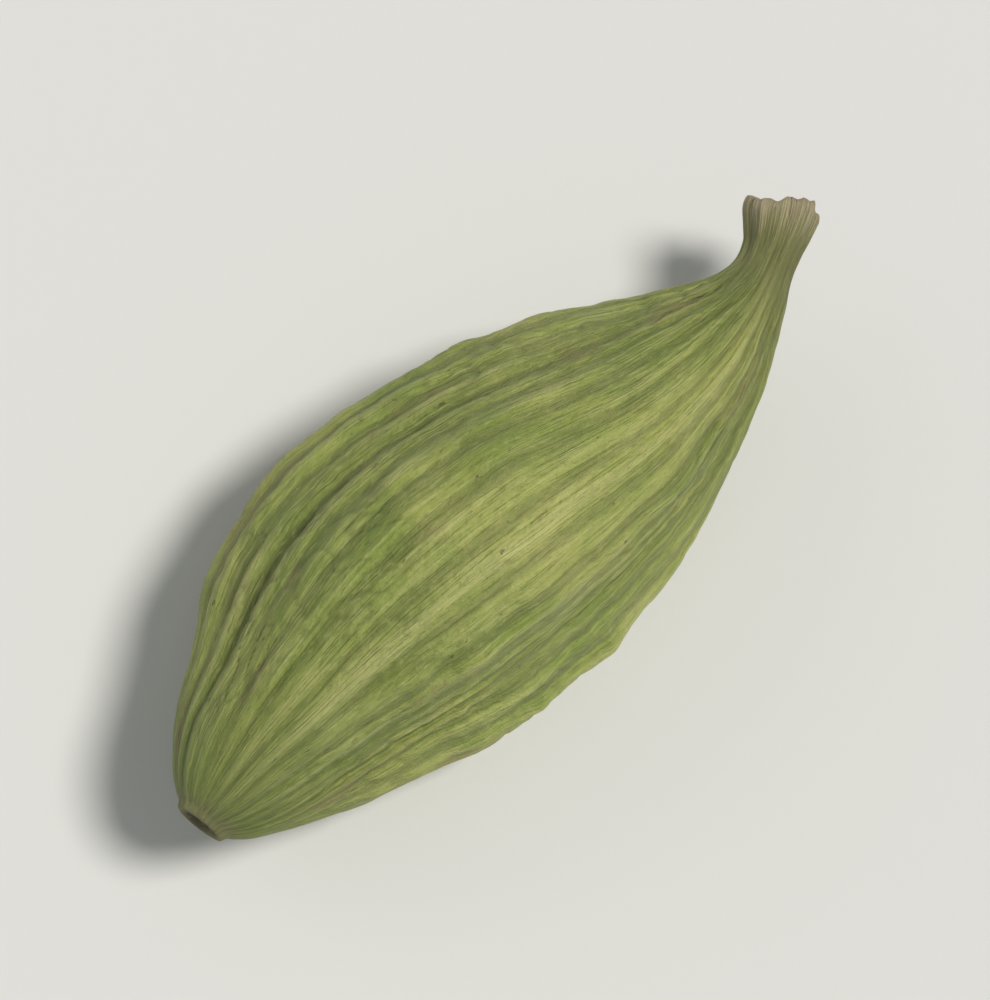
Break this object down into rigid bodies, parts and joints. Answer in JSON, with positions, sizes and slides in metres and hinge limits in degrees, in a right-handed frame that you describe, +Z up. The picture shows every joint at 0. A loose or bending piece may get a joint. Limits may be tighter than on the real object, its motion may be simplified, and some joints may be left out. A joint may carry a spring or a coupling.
{
  "type": "green cardamom pod",
  "caption": "Dried green cardamom pod: a ribbed three-sided spindle with a blunt scarred base and a bent beak, holding its seeds closed inside a papery husk",
  "frame": {"origin": "middle of the pod's bounding box, on the surface that it rests on", "axes": "+X runs from the base with the stalk's scar to the beak, +Z is up with the pod lying on one of its three faces, and +Y is across it"},
  "size_m": [0.0164, 0.0068, 0.006],
  "materials": {
    "husk": "matte"
  },
  "bodies": {
    "root": {"cardamom_pod": "husk"}
  },
  "joints": []
}
